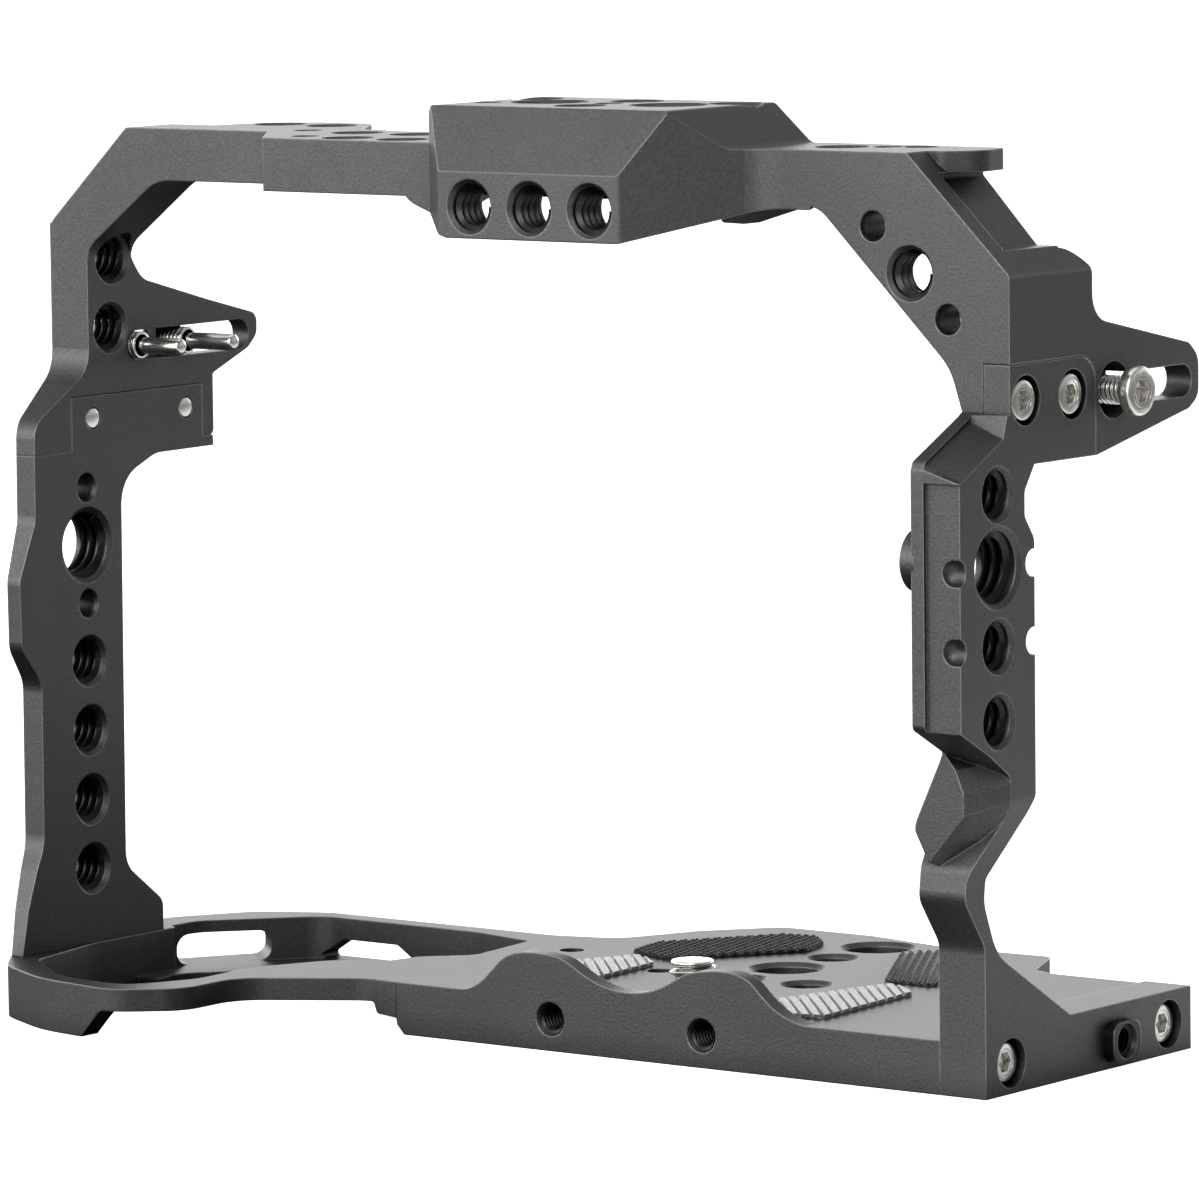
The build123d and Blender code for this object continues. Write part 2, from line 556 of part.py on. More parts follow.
# ---------- Fasteners ----------
left_joint_spots = [(6.5, left_seam + 4.4), (27.0, left_seam + 4.4)]
right_joint_spots = [(3.7, right_seam + 8.45), (14.65, right_seam + 8.45)]
foot_spots = [(6.0, 4.1), (43.7, 4.1)]
left_foot_spots = [(left_in - left_thick / 2, 7.5), (left_in - left_thick / 2, 15.5)]
left_foot_pocket_d = 5.9
left_foot_grip = 5.8
fixed_screws = {}


def name_pair(base, index):
    return base + ("_front" if index == 0 else "_rear")


for index, (spot_y, spot_z) in enumerate(left_joint_spots):
    face = (left_out, spot_y, spot_z)
    reach = left_thick - 0.3
    screw_hole = joint_screw_hole(face, inward_right, left_thick + 0.01)
    top_frame -= screw_hole
    left_side_plate -= screw_hole
    head = moved(face, inward_right, 0.3)
    fixed_screws[name_pair("grip_joint_screw", index)] = joint_screw(head, inward_right, reach - m3_head_h)
for index, (spot_y, spot_z) in enumerate(right_joint_spots):
    face = (column_out, spot_y, spot_z)
    screw_hole = joint_screw_hole(face, inward_left, column_thick - 0.3)
    right_side_plate -= screw_hole
    top_frame -= screw_hole
    head = moved(face, inward_left, 0.3)
    fixed_screws[name_pair("port_joint_screw", index)] = joint_screw(head, inward_left, 4.2)
for index, (spot_y, spot_z) in enumerate(foot_spots):
    face = (foot_out, spot_y, spot_z)
    foot_pocket = 3.0
    screw_hole = rod(face, inward_left, m3_pocket_d, foot_pocket)
    screw_hole += rod(face, inward_left, m3_d + 2 * thread_fit, foot_thick + 7.0)
    right_side_plate -= screw_hole
    base_plate -= screw_hole
    head = moved(face, inward_left, foot_pocket - m3_head_h)
    fixed_screws[name_pair("port_foot_screw", index)] = joint_screw(head, inward_left, 9.0)
for index, (spot_x, spot_y) in enumerate(left_foot_spots):
    face = (spot_x, spot_y, 0)
    screw_hole = rod(face, upward, left_foot_pocket_d, m3_pocket_depth)
    screw_hole += rod(face, upward, m3_d + 2 * thread_fit, base_thick + left_foot_grip)
    base_plate -= screw_hole
    left_side_plate -= screw_hole
    head = moved(face, upward, m3_pocket_depth - m3_head_h)
    shaft_long = base_thick + left_foot_grip - 0.25 - m3_pocket_depth
    fixed_screws[name_pair("grip_foot_screw", index)] = joint_screw(head, upward, shaft_long)

# Cable clamp insert in the port-side foot
insert_face = Plane.YZ.offset(foot_out - insert_sunk) * Pos(insert_y, insert_z) * RectangleRounded(
    insert_long, insert_high, 1.8)
clamp_insert = extrude(insert_face, amount=insert_sunk + insert_proud)
right_side_plate -= extrude(insert_face, amount=insert_sunk + 1)
clamp_insert -= tapped((foot_out + insert_proud, insert_y, insert_z), inward_left, m4_d, m4_mouth,
                       insert_sunk + insert_proud, False)

# ---------- Moving pieces ----------
head_under = screw_lift + screw_head_h
camera_screw = rod((screw_x, screw_y, screw_lift), upward, screw_head_d, screw_head_h)
camera_screw += rod((screw_x, screw_y, head_under), upward, screw_neck_d, screw_top - head_under - 0.6)
thread_low = screw_top - screw_thread_long
camera_screw += rod((screw_x, screw_y, thread_low), upward, quarter_d, screw_thread_long - 0.6)
camera_screw += cone((screw_x, screw_y, screw_top - 0.6), upward, quarter_d, quarter_d - 1.2, 0.6)
camera_screw -= block((screw_x - screw_head_d, screw_x + screw_head_d),
                      (screw_y - coin_slot / 2, screw_y + coin_slot / 2), (0, screw_lift + 1.2))
washer_low = head_under + 0.02
camera_screw_washer = rod((screw_x, screw_y, washer_low), upward, washer_d, washer_thick)
camera_screw_washer -= rod((screw_x, screw_y, washer_low), upward, screw_neck_d + 2 * turn_fit, washer_thick)


def lug_nut(face_x, spot_y, spot_z, outward, long):
    """Flat slider nut against one face of an ear; outward is the side it lies on, +1 or -1."""
    near = face_x + outward * 0.02
    far = near + outward * nut_thick
    nut = block((min(near, far), max(near, far)), (spot_y - long / 2, spot_y + long / 2),
                (spot_z - nut_high / 2, spot_z + nut_high / 2))
    nut = fillet(nut.edges().filter_by(Axis.X), 0.8)
    start = (min(near, far), spot_y, spot_z)
    return nut - rod(start, inward_right, lug_thread_d + 2 * turn_fit, nut_thick)


def lug_screw(head_top_x, spot_y, spot_z, inward, head_long, thread_long, pin_long):
    """Cap screw with a slim pin; inward is +1 or -1 along X."""
    way = (inward, 0, 0)
    top = (head_top_x, spot_y, spot_z)
    screw = rod(top, way, lug_head_d, head_long)
    screw = chamfer(screw.edges().filter_by(GeomType.CIRCLE), 0.35)
    screw += rod(moved(top, way, head_long), way, lug_thread_d, thread_long)
    screw += rod(moved(top, way, head_long + thread_long), way, lug_pin_d, pin_long - 0.4)
    tip = moved(top, way, head_long + thread_long + pin_long - 0.4)
    screw += cone(tip, way, lug_pin_d, lug_pin_d - 0.8, 0.4)
    return screw - hexagon(top, way, lug_hex, 2.0)


moving = {}
left_nut_face = ear_face
left_head_x = left_nut_face - nut_thick - slide_gap - lug_head_h
left_thread = slide_gap + nut_thick + left_ear_thick + 0.8
moving["grip_lug_nut_a"] = lug_nut(left_nut_face, left_lug_a_y, left_slot_z, -1, nut_long)
moving["grip_lug_nut_b"] = lug_nut(left_nut_face, left_lug_b_y, left_slot_z, -1, nut_long)
moving["grip_lug_screw_a"] = lug_screw(left_head_x, left_lug_a_y, left_slot_z, 1, lug_head_h, left_thread,
                                       left_pin_a)
moving["grip_lug_screw_b"] = lug_screw(left_head_x, left_lug_b_y, left_slot_z, 1, lug_head_h, left_thread,
                                       left_pin_b)
right_head_x = column_out + port_standoff + port_head_h
right_thread = port_standoff + right_ear_thick + nut_thick + 0.8
moving["port_lug_nut"] = lug_nut(leg_face, right_lug_y, right_slot_z, -1, port_nut_long)
moving["port_lug_screw"] = lug_screw(right_head_x, right_lug_y, right_slot_z, -1, port_head_h, right_thread,
                                     right_pin)
moving["camera_screw"] = camera_screw
moving["camera_screw_washer"] = camera_screw_washer

# ---------- Collect and write ----------
pieces = {
    "base_plate": base_plate,
    "grip_side_plate": left_side_plate,
    "port_side_plate": right_side_plate,
    "top_frame": top_frame,
    "clamp_insert": clamp_insert,
}
pieces.update(pads)
pieces.update(fixed_screws)
pieces.update(moving)

whole = Compound(children=[Compound(piece.solids()) for piece in pieces.values()]).bounding_box()
centre_x = (whole.min.X + whole.max.X) / 2
centre_y = (whole.min.Y + whole.max.Y) / 2
frame_shift = Pos(-centre_x, -centre_y, -whole.min.Z)

if __name__ == "__main__":
    os.makedirs("parts", exist_ok=True)
    for name, piece in pieces.items():
        export_step(frame_shift * Compound(piece.solids()), "parts/" + name + ".step")
    print("origin at", round(centre_x, 4), round(centre_y, 4), round(whole.min.Z, 4))
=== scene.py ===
import json
import math
import bpy
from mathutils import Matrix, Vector


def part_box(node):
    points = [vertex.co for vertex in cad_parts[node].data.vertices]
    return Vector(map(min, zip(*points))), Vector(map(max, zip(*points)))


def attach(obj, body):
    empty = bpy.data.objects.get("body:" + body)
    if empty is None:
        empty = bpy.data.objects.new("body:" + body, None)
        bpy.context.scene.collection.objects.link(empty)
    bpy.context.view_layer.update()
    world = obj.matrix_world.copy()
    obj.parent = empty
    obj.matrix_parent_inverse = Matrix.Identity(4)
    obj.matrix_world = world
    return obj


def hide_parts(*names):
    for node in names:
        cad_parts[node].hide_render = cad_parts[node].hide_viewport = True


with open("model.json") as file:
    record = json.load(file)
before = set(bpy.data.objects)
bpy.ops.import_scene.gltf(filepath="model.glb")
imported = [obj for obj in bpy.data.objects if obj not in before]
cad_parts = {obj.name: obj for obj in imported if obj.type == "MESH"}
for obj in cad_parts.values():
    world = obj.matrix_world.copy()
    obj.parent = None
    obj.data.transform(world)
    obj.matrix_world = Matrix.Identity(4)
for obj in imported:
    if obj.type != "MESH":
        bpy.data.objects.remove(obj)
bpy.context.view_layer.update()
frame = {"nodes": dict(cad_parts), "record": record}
record = frame["record"]
mm = 0.001
print("frame loaded:", len(frame["nodes"]), "nodes")


def deselectAll():
    if bpy.context.object and bpy.context.object.mode != "OBJECT":
        bpy.ops.object.mode_set(mode="OBJECT")
    bpy.ops.object.select_all(action="DESELECT")


def makeActive(piece):
    deselectAll()
    piece.select_set(True)
    bpy.context.view_layer.objects.active = piece


def openInEditMode(piece):
    makeActive(piece)
    bpy.ops.object.mode_set(mode="EDIT")
    bpy.ops.mesh.select_all(action="SELECT")


def leaveEditMode():
    bpy.ops.object.mode_set(mode="OBJECT")


def bakePlace(location=True, rotation=False, scale=False):
    bpy.ops.object.transform_apply(location=location, rotation=rotation, scale=scale)


def addCylinder(name, radius, depth, place=(0, 0, 0), sides=48):
    deselectAll()
    bpy.ops.mesh.primitive_cylinder_add(vertices=sides, radius=radius, depth=depth, location=place)
    piece = bpy.context.object
    piece.name = name
    bakePlace()
    return piece


def addBox(name, size):
    deselectAll()
    bpy.ops.mesh.primitive_cube_add(size=1, location=(0, 0, 0))
    piece = bpy.context.object
    piece.name = name
    bpy.ops.transform.resize(value=size)
    bakePlace(scale=True)
    return piece


mergeDistance = 0.002 * mm


# Copy of a CAD node's mesh with its doubled corners merged.
def copyOfNode(nodeName, name):
    deselectAll()
    source = frame["nodes"][nodeName]
    piece = source.copy()
    piece.data = source.data.copy()
    piece.name = name
    for key in list(piece.keys()):
        del piece[key]
    bpy.context.scene.collection.objects.link(piece)
    openInEditMode(piece)
    bpy.ops.mesh.remove_doubles(threshold=mergeDistance)
    leaveEditMode()
    return piece


# Selects the faces whose normal passes the test, and stays in edit mode.
def pickFaces(piece, test):
    makeActive(piece)
    bpy.ops.object.mode_set(mode="EDIT")
    bpy.ops.mesh.select_mode(type="FACE")
    bpy.ops.mesh.select_all(action="DESELECT")
    leaveEditMode()
    for face in piece.data.polygons:
        face.select = test(face.normal)
    bpy.ops.object.mode_set(mode="EDIT")


def applyModifier(piece, kind, **settings):
    makeActive(piece)
    modifier = piece.modifiers.new(kind.lower(), kind)
    for key, value in settings.items():
        setattr(modifier, key, value)
    bpy.ops.object.modifier_apply(modifier=modifier.name)


rimRounding = {"segments": 3, "angle": 60}


def roundRims(piece, width):
    applyModifier(piece, "BEVEL", width=width, segments=rimRounding["segments"], limit_method="ANGLE",
                  angle_limit=math.radians(rimRounding["angle"]), use_clamp_overlap=True)


def carve(piece, cutter, operation="DIFFERENCE"):
    applyModifier(piece, "BOOLEAN", operation=operation, object=cutter, solver="EXACT")
    bpy.data.objects.remove(cutter)


def joinAll(pieces, name):
    deselectAll()
    for piece in pieces:
        piece.select_set(True)
    bpy.context.view_layer.objects.active = pieces[0]
    bpy.ops.object.join()
    pieces[0].name = name
    return pieces[0]


def smooth(piece, angle):
    makeActive(piece)
    bpy.ops.object.shade_smooth_by_angle(angle=math.radians(angle))


# Turns a piece built along +Z to an axis and moves it, with both left in its mesh.
def aimAndPlace(piece, axis, place):
    makeActive(piece)
    piece.rotation_mode = "QUATERNION"
    piece.rotation_quaternion = Vector((0, 0, 1)).rotation_difference(Vector(axis))
    piece.location = place
    bakePlace(rotation=True, scale=True)
    piece.rotation_mode = "XYZ"


def finishPiece(piece, body, material, replaced=()):
    piece.data.materials.clear()
    piece.data.materials.append(material)
    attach(piece, body)
    if replaced:
        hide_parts(*replaced)


def newGroup(name, inputs, outputs):
    group = bpy.data.node_groups.new(name, "ShaderNodeTree")
    for socketName, kind, value in inputs:
        socket = group.interface.new_socket(name=socketName, in_out="INPUT", socket_type=kind)
        socket.default_value = value
    for socketName, kind in outputs:
        group.interface.new_socket(name=socketName, in_out="OUTPUT", socket_type=kind)
    return group, group.nodes.new("NodeGroupInput"), group.nodes.new("NodeGroupOutput")


def mathNode(tree, operation, first, second, clamp=False):
    node = tree.nodes.new("ShaderNodeMath")
    node.operation = operation
    node.use_clamp = clamp
    for index, value in enumerate((first, second)):
        if isinstance(value, (int, float)):
            node.inputs[index].default_value = value
        else:
            tree.links.new(value, node.inputs[index])
    return node.outputs[0]


def rangeNode(tree, value, low, high):
    node = tree.nodes.new("ShaderNodeMapRange")
    node.inputs["To Min"].default_value = low
    node.inputs["To Max"].default_value = high
    tree.links.new(value, node.inputs["Value"])
    return node.outputs["Result"]


# Smooth step from one value to another while the input crosses a span.
def ramp(tree, value, span, low, high):
    node = tree.nodes.new("ShaderNodeMapRange")
    node.interpolation_type = "SMOOTHSTEP"
    for key, number in zip(("From Min", "From Max", "To Min", "To Max"), (*span, low, high)):
        node.inputs[key].default_value = number
    tree.links.new(value, node.inputs["Value"])
    return node.outputs["Result"]


# Bead-blasted grain: a fine height, a fine speckle and broad clouds of tone.
blast = {"fineDetail": 2.0, "fineRoughness": 0.65, "cloudDetail": 3.0, "pitShare": 0.5}


def makeBlastGroup():
    group, start, end = newGroup(
        "beadBlast",
        [("Grain Scale", "NodeSocketFloat", 5200.0), ("Cloud Scale", "NodeSocketFloat", 60.0)],
        [("Height", "NodeSocketFloat"), ("Speckle", "NodeSocketFloat"), ("Clouds", "NodeSocketFloat")])
    coords = group.nodes.new("ShaderNodeTexCoord")
    fine = group.nodes.new("ShaderNodeTexNoise")
    fine.inputs["Detail"].default_value = blast["fineDetail"]
    fine.inputs["Roughness"].default_value = blast["fineRoughness"]
    broad = group.nodes.new("ShaderNodeTexNoise")
    broad.inputs["Detail"].default_value = blast["cloudDetail"]
    pits = group.nodes.new("ShaderNodeTexVoronoi")
    for texture in (fine, broad, pits):
        group.links.new(coords.outputs["Object"], texture.inputs["Vector"])
    group.links.new(start.outputs["Grain Scale"], fine.inputs["Scale"])
    group.links.new(start.outputs["Grain Scale"], pits.inputs["Scale"])
    group.links.new(start.outputs["Cloud Scale"], broad.inputs["Scale"])
    height = mathNode(group, "MULTIPLY", pits.outputs["Distance"], blast["pitShare"])
    height = mathNode(group, "ADD", height, fine.outputs[0])
    group.links.new(height, end.inputs["Height"])
    group.links.new(fine.outputs[0], end.inputs["Speckle"])
    group.links.new(broad.outputs[0], end.inputs["Clouds"])
    return group


# Mask of sharp edges, from the angle between the true normal and a rounded one. It places the painted
# highlight along edges.
def makeEdgeGroup():
    group, start, end = newGroup(
        "edgeLine",
        [("Rounded Normal", "NodeSocketVector", (0, 0, 1)), ("Gain", "NodeSocketFloat", 3.0)],
        [("Mask", "NodeSocketFloat")])
    geometry = group.nodes.new("ShaderNodeNewGeometry")
    dot = group.nodes.new("ShaderNodeVectorMath")
    dot.operation = "DOT_PRODUCT"
    group.links.new(start.outputs["Rounded Normal"], dot.inputs[0])
    group.links.new(geometry.outputs["Normal"], dot.inputs[1])
    bend = mathNode(group, "SUBTRACT", 1.0, dot.outputs["Value"], True)
    mask = mathNode(group, "MULTIPLY", bend, start.outputs["Gain"], True)
    group.links.new(mask, end.inputs["Mask"])
    return group


# Tone from three colours: base, mottling and a painted highlight along edges.
def makeToneGroup():
    group, start, end = newGroup(
        "finishTone",
        [("Base", "NodeSocketColor", (0.05, 0.05, 0.05, 1)),
         ("Mottle", "NodeSocketColor", (0.06, 0.06, 0.06, 1)),
         ("Edge", "NodeSocketColor", (0.3, 0.3, 0.3, 1)),
         ("Mottle Mask", "NodeSocketFloat", 0.5), ("Edge Mask", "NodeSocketFloat", 0.0)],
        [("Color", "NodeSocketColor")])
    mottled = group.nodes.new("ShaderNodeMix")
    mottled.data_type = "RGBA"
    edged = group.nodes.new("ShaderNodeMix")
    edged.data_type = "RGBA"
    group.links.new(start.outputs["Mottle Mask"], mottled.inputs["Factor"])
    group.links.new(start.outputs["Base"], mottled.inputs["A"])
    group.links.new(start.outputs["Mottle"], mottled.inputs["B"])
    group.links.new(start.outputs["Edge Mask"], edged.inputs["Factor"])
    group.links.new(mottled.outputs["Result"], edged.inputs["A"])
    group.links.new(start.outputs["Edge"], edged.inputs["B"])
    group.links.new(edged.outputs["Result"], end.inputs["Color"])
    return group


blastGroup = makeBlastGroup()
edgeGroup = makeEdgeGroup()
toneGroup = makeToneGroup()


def useGroup(tree, group, values):
    node = tree.nodes.new("ShaderNodeGroup")
    node.node_tree = group
    for key, value in values.items():
        node.inputs[key].default_value = value
    return node


sampling = {"rounding": 4, "hollow": 6}  # samples of the bevel and occlusion nodes
edgeFadeInHollows = 4.0
noiseMiddle = 0.5


# Principled material with grain, mottling, painted shade in hollows and a painted highlight line along
# sharp edges.
def makeFinish(name, look):
    material = bpy.data.materials.new(name)
    material.use_nodes = True
    tree = material.node_tree
    shader = tree.nodes["Principled BSDF"]
    grain = useGroup(tree, blastGroup,
                     {"Grain Scale": look["grainScale"], "Cloud Scale": look["cloudScale"]})
    rounding = tree.nodes.new("ShaderNodeBevel")
    rounding.samples = sampling["rounding"]
    rounding.inputs["Radius"].default_value = look["edgeRadius"]
    # Painted highlight: the edge colour is mixed in along sharp edges.
    edge = useGroup(tree, edgeGroup, {"Gain": look["edgeGain"]})
    tree.links.new(rounding.outputs["Normal"], edge.inputs["Rounded Normal"])
    tone = useGroup(tree, toneGroup, {"Base": look["base"], "Mottle": look["mottle"], "Edge": look["edge"]})
    speckle = mathNode(tree, "SUBTRACT", grain.outputs["Speckle"], noiseMiddle)
    speckle = mathNode(tree, "MULTIPLY", speckle, look["grainTone"])
    mottleMask = mathNode(tree, "ADD", grain.outputs["Clouds"], speckle, True)
    tree.links.new(mottleMask, tone.inputs["Mottle Mask"])
    # Painted shade: occlusion darkens the colour in hollows and fades the painted edge highlight there.
    hollow = tree.nodes.new("ShaderNodeAmbientOcclusion")
    hollow.samples = sampling["hollow"]
    hollow.inputs["Distance"].default_value = look["hollowReach"]
    shadeFactor = rangeNode(tree, hollow.outputs["AO"], look["hollowShade"], 1.0)
    edgeFade = mathNode(tree, "POWER", shadeFactor, edgeFadeInHollows)
    tree.links.new(mathNode(tree, "MULTIPLY", edge.outputs["Mask"], edgeFade), tone.inputs["Edge Mask"])
    shade = tree.nodes.new("ShaderNodeVectorMath")
    shade.operation = "SCALE"
    tree.links.new(tone.outputs["Color"], shade.inputs[0])
    tree.links.new(shadeFactor, shade.inputs["Scale"])
    tree.links.new(shade.outputs["Vector"], shader.inputs["Base Color"])
    roughness = rangeNode(tree, grain.outputs["Speckle"], look["roughLow"], look["roughHigh"])
    tree.links.new(roughness, shader.inputs["Roughness"])
    bump = tree.nodes.new("ShaderNodeBump")
    bump.inputs["Strength"].default_value = look["bumpStrength"]
    bump.inputs["Distance"].default_value = look["bumpDistance"]
    tree.links.new(grain.outputs["Height"], bump.inputs["Height"])
    tree.links.new(rounding.outputs["Normal"], bump.inputs["Normal"])
    tree.links.new(bump.outputs["Normal"], shader.inputs["Normal"])
    shader.inputs["Metallic"].default_value = look["metallic"]
    shader.inputs["IOR"].default_value = look["ior"]
    return material


# In each look the edge colour is a painted highlight along sharp edges, and the hollow tone is the share of
# the colour kept under painted shade in hollows.
anodisedLook = {
    "grainScale": 3000.0, "grainTone": 3.5, "cloudScale": 45.0, "edgeRadius": 0.3 * mm, "edgeGain": 2.6,
    "base": (0.094, 0.095, 0.097, 1), "mottle": (0.130, 0.130, 0.132, 1), "edge": (0.55, 0.55, 0.56, 1),
    "hollowReach": 4.0 * mm, "hollowShade": 0.28, "roughLow": 0.40, "roughHigh": 0.52,
    "bumpStrength": 0.6, "bumpDistance": 0.03 * mm, "metallic": 1.0, "ior": 1.5}
# Thread finish: the anodised look darkened as painted shade inside the holes, with painted glints on the
# crests.
shadedThreadLook = dict(
    anodisedLook, base=(0.045, 0.045, 0.046, 1), mottle=(0.055, 0.055, 0.056, 1), edge=(0.4, 0.4, 0.41, 1),
    edgeRadius=0.08 * mm, hollowReach=6.0 * mm, hollowShade=0.15, roughLow=0.24, roughHigh=0.34,
    bumpStrength=0.1)
blackSteelLook = dict(
    anodisedLook, base=(0.05, 0.05, 0.052, 1), mottle=(0.06, 0.06, 0.062, 1), roughLow=0.3, roughHigh=0.42)
steelLook = {
    "grainScale": 2500.0, "grainTone": 0.5, "cloudScale": 300.0, "edgeRadius": 0.12 * mm, "edgeGain": 0.6,
    "base": (0.86, 0.84, 0.79, 1), "mottle": (0.92, 0.90, 0.86, 1), "edge": (0.98, 0.97, 0.94, 1),
    "hollowReach": 1.5 * mm, "hollowShade": 0.2, "roughLow": 0.16, "roughHigh": 0.27,
    "bumpStrength": 0.05, "bumpDistance": 0.01 * mm, "metallic": 1.0, "ior": 1.5}
rubberLook = {
    "grainScale": 3500.0, "grainTone": 1.5, "cloudScale": 500.0, "edgeRadius": 0.12 * mm, "edgeGain": 4.0,
    "base": (0.05, 0.05, 0.049, 1), "mottle": (0.16, 0.16, 0.155, 1), "edge": (0.85, 0.85, 0.82, 1),
    "hollowReach": 1.0 * mm, "hollowShade": 0.2, "roughLow": 0.22, "roughHigh": 0.40,
    "bumpStrength": 0.4, "bumpDistance": 0.03 * mm, "metallic": 0.0, "ior": 1.6}
# Rubber darkened as painted shade, for the rear-left pad.
shadedRubberLook = dict(
    rubberLook, base=(0.008, 0.008, 0.008, 1), mottle=(0.02, 0.02, 0.02, 1), edge=(0.26, 0.26, 0.26, 1),
    edgeGain=2.0, roughLow=0.45, roughHigh=0.6, ior=1.25)
# The shaded rubber with bright painted glints along the stud edges, for the rear-right pad.
glintRubberLook = dict(shadedRubberLook, edge=(0.9, 0.9, 0.88, 1), edgeGain=3.5)
nylonLook = dict(
    rubberLook, base=(0.014, 0.014, 0.015, 1), mottle=(0.03, 0.03, 0.031, 1), edge=(0.1, 0.1, 0.1, 1),
    roughLow=0.4, roughHigh=0.5)
anodised = makeFinish("anodisedAluminium", anodisedLook)
shadedThreadFinish = makeFinish("shadedThread", shadedThreadLook)
steel = makeFinish("polishedSteel", steelLook)
blackSteel = makeFinish("blackSteel", blackSteelLook)
rubber = makeFinish("blackRubber", rubberLook)
shadedRubber = makeFinish("shadedRubber", shadedRubberLook)
glintRubber = makeFinish("glintRubber", glintRubberLook)
nylon = makeFinish("blackNylon", nylonLook)
finishes = {"anodised_aluminium": anodised, "stainless": steel, "black_steel": blackSteel,
            "ribbed_rubber": rubber, "nylon": nylon}

for part in record["subparts"]:
    node = frame["nodes"][part["node"]]
    finish = finishes[part["material_slot"]]
    if not node.material_slots:
        node.data.materials.append(finish)
    for materialSlot in node.material_slots:
        materialSlot.material = finish
print("materials made")

threadSizes = {  # major diameter in mm: pitch and ridge depth in mm
    6.35: {"pitch": 1.27, "depth": 0.62, "name": "quarter_inch"},
    9.525: {"pitch": 1.5875, "depth": 0.80, "name": "three_eighths_inch"},
    4.0: {"pitch": 0.7, "depth": 0.36, "name": "m4"},
}
ridgeForm = {"sink": 0.05 * mm, "rootShare": 0.43, "crestShare": 0.09,  # half widths as shares of the pitch
             "stepsPerTurn": 28, "fewestSteps": 8}
smoothAngles = {"thread": 28, "screw": 32}


# Helical ridge along +Z, centred on the origin. Its root lies a little inside the wall or core.
def addRidge(name, rootRadius, depth, pitch, length, outward):
    deselectAll()
    bpy.ops.mesh.primitive_plane_add(size=1, rotation=(math.pi / 2, 0, 0))
    ridge = bpy.context.object
    ridge.name = name
    crest = rootRadius + depth * outward
    root = rootRadius - ridgeForm["sink"] * outward
    halfRoot = pitch * ridgeForm["rootShare"]
    halfCrest = pitch * ridgeForm["crestShare"]
    bakePlace(location=False, rotation=True)
    for corner in ridge.data.vertices:
        nearCrest = corner.co.x > 0
        side = 1 if corner.co.z > 0 else -1
        corner.co = (crest if nearCrest else root, 0, side * (halfCrest if nearCrest else halfRoot))
    openInEditMode(ridge)
    bpy.ops.mesh.delete(type="ONLY_FACE")
    leaveEditMode()
    run = length - 2 * halfRoot
    turns = run / pitch
    steps = max(ridgeForm["fewestSteps"], int(ridgeForm["stepsPerTurn"] * turns))
    applyModifier(ridge, "SCREW", axis="Z", angle=2 * math.pi * turns, screw_offset=run, steps=steps,
                  render_steps=steps)
    openInEditMode(ridge)
    bpy.ops.transform.translate(value=(0, 0, -run / 2))
    bpy.ops.mesh.select_all(action="DESELECT")
    bpy.ops.mesh.select_mode(type="EDGE")
    bpy.ops.mesh.select_non_manifold()
    bpy.ops.mesh.fill_holes(sides=4)
    bpy.ops.mesh.select_all(action="SELECT")
    bpy.ops.mesh.normals_make_consistent(inside=False)
    leaveEditMode()
    return ridge


# Ridge of a tapped hole, turned about its own axis so that its outer end lies beside the mouth.
def threadForHole(name, place, axis, majorDiameter, length):
    size = threadSizes[majorDiameter]
    ridge = addRidge(name, majorDiameter / 2 * mm, size["depth"] * mm, size["pitch"] * mm, length, -1)
    turns = (length / mm - 2 * ridgeForm["rootShare"] * size["pitch"]) / size["pitch"]
    quarterTurn = math.pi / 2 if abs(axis[0]) > 0.5 else 0
    ridge.rotation_euler = (0, 0, -2 * math.pi * (turns % 1) - quarterTurn)
    makeActive(ridge)
    bakePlace(location=False, rotation=True)
    aimAndPlace(ridge, axis, place)
    smooth(ridge, smoothAngles["thread"])
    return ridge


holeThreads = {}
for mount in record["mounts"]:
    if mount["kind"] != "threaded_hole":
        continue
    diameter = round(2 * mount["dims"]["r_mm"], 3)
    ridge = threadForHole("thread_" + mount["name"], mount["pos_m"], mount["axis"], diameter,
                          mount["dims"]["length_mm"] * mm)
    holeThreads.setdefault(threadSizes[diameter]["name"], []).append(ridge)
for sizeName, ridges in holeThreads.items():
    joined = joinAll(ridges, "hole_threads_" + sizeName)
    finishPiece(joined, "frame", shadedThreadFinish)
print("hole threads:", {name: len(ridges) for name, ridges in holeThreads.items()})

sideCounts = {"cone": 24, "shaft": 40, "thread": 48, "head": 64}
socketForm = {"coneShare": 0.48, "coneDeep": 0.3, "coneSink": 0.13,  # shares of the width across flats
              "dishShare": 0.72, "dishDeep": 0.1}  # dishDeep is a share of the head's height


# Hexagonal socket with a drilled cone at its bottom, opening at z = 0 and going down.
def addHexCutter(across, depth):
    cutter = addCylinder("cutter", across / math.sqrt(3), depth * 2, (0, 0, 0), 6)
    deselectAll()
    bpy.ops.mesh.primitive_cone_add(
        vertices=sideCounts["cone"], radius1=0, radius2=across * socketForm["coneShare"],
        depth=across * socketForm["coneDeep"], location=(0, 0, -depth - across * socketForm["coneSink"]))
    carve(cutter, bpy.context.object, "UNION")
    return cutter


# Cap head whose outer face is at z = 0 and which goes down, with a rounded rim and a hex socket.
def addScrewHead(radius, height, across, socketDepth, rim):
    head = addCylinder("head", radius, height, (0, 0, -height / 2), sideCounts["head"])
    roundRims(head, rim)
    dish = addCylinder("dish", across * socketForm["dishShare"], socketForm["dishDeep"] * height,
                       sides=sideCounts["thread"])
    carve(head, dish)
    carve(head, addHexCutter(across, socketDepth))
    return head


def addShaft(radius, top, bottom, sideCount=sideCounts["shaft"], rim=0.0):
    shaft = addCylinder("shaft", radius, top - bottom, (0, 0, (top + bottom) / 2), sideCount)
    if rim:
        roundRims(shaft, rim)
    return shaft


def longAxis(axis):
    return [abs(value) > 0.5 for value in axis].index(True)


